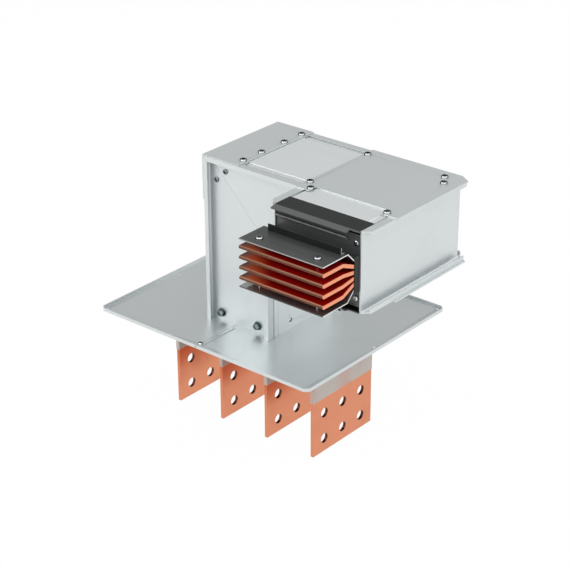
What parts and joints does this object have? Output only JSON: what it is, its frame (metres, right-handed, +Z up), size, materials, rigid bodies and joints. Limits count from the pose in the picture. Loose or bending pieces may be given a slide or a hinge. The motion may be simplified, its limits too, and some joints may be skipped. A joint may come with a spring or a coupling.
{
  "type": "busway elbow",
  "caption": "Sandwich busway elbow that turns from a fanned joint stub through a box and a duct to drilled copper palms below a flange plate.",
  "frame": {"origin": "centre of the flange plate's underside", "axes": "+Z up through the duct, +X along the horizontal run away from the duct, -Y out of the fanned stub"},
  "size_m": [0.568, 0.4475, 0.5066],
  "materials": {
    "flange_sheet": "satin natural sheet",
    "casing_sheet": "satin natural sheet",
    "closure_profile": "satin extruded profile",
    "cap_sheet": "satin natural sheet",
    "black_plate": "black, semi-gloss",
    "copper_bar": "bare copper, satin",
    "clear_sleeve": "pale translucent insulation",
    "film": "insulating film",
    "insulator": "moulded insulation",
    "bright_screw": "zinc plated",
    "inner_steel": "zinc plated sheet"
  },
  "bodies": {
    "root": {"bar_1": "copper_bar", "bar_2": "copper_bar", "bar_3": "copper_bar", "bar_4": "copper_bar", "blade_1": "copper_bar", "blade_2": "copper_bar", "blade_3": "copper_bar", "blade_4": "copper_bar", "bottom_cover": "cap_sheet", "bottom_cover_screws": "bright_screw", "cap_screws": "bright_screw", "carriers": "insulator", "corner_angles": "inner_steel", "corner_cap": "cap_sheet", "corner_liner": "cap_sheet", "duct_back_rail": "casing_sheet", "duct_bolts": "bright_screw", "duct_front_rail": "casing_sheet", "duct_left_panel": "closure_profile", "duct_nuts": "bright_screw", "duct_right_panel": "closure_profile", "end_pads": "insulator", "end_plate_bottom": "black_plate", "end_plate_top": "black_plate", "exit_block": "insulator", "fan_screws": "bright_screw", "foot_screws": "bright_screw", "gussets": "inner_steel", "mouth_bracket_bottom": "black_plate", "mouth_bracket_top": "black_plate", "mouth_closer_bottom": "black_plate", "mouth_closer_top": "black_plate", "mouth_screws": "bright_screw", "palm_1": "copper_bar", "palm_2": "copper_bar", "palm_3": "copper_bar", "palm_4": "copper_bar", "panel_feet": "inner_steel", "panel_rivets": "bright_screw", "plate_left": "flange_sheet", "plate_right": "flange_sheet", "posts": "insulator", "run_back_rail": "casing_sheet", "run_bottom_panel": "closure_profile", "run_front_rail": "casing_sheet", "run_top_panel": "closure_profile", "seam_screws": "bright_screw", "seam_strips": "flange_sheet", "side_sheets": "black_plate", "sleeves": "clear_sleeve", "stack_films": "film", "stop_angle_bottom": "black_plate", "stop_angle_top": "black_plate", "stub_bottom_panel": "closure_profile", "stub_left_rail": "casing_sheet", "stub_right_rail": "casing_sheet", "stub_top_panel": "closure_profile", "top_cover": "cap_sheet", "top_cover_screws": "bright_screw", "wall_screws": "bright_screw"}
  },
  "joints": []
}
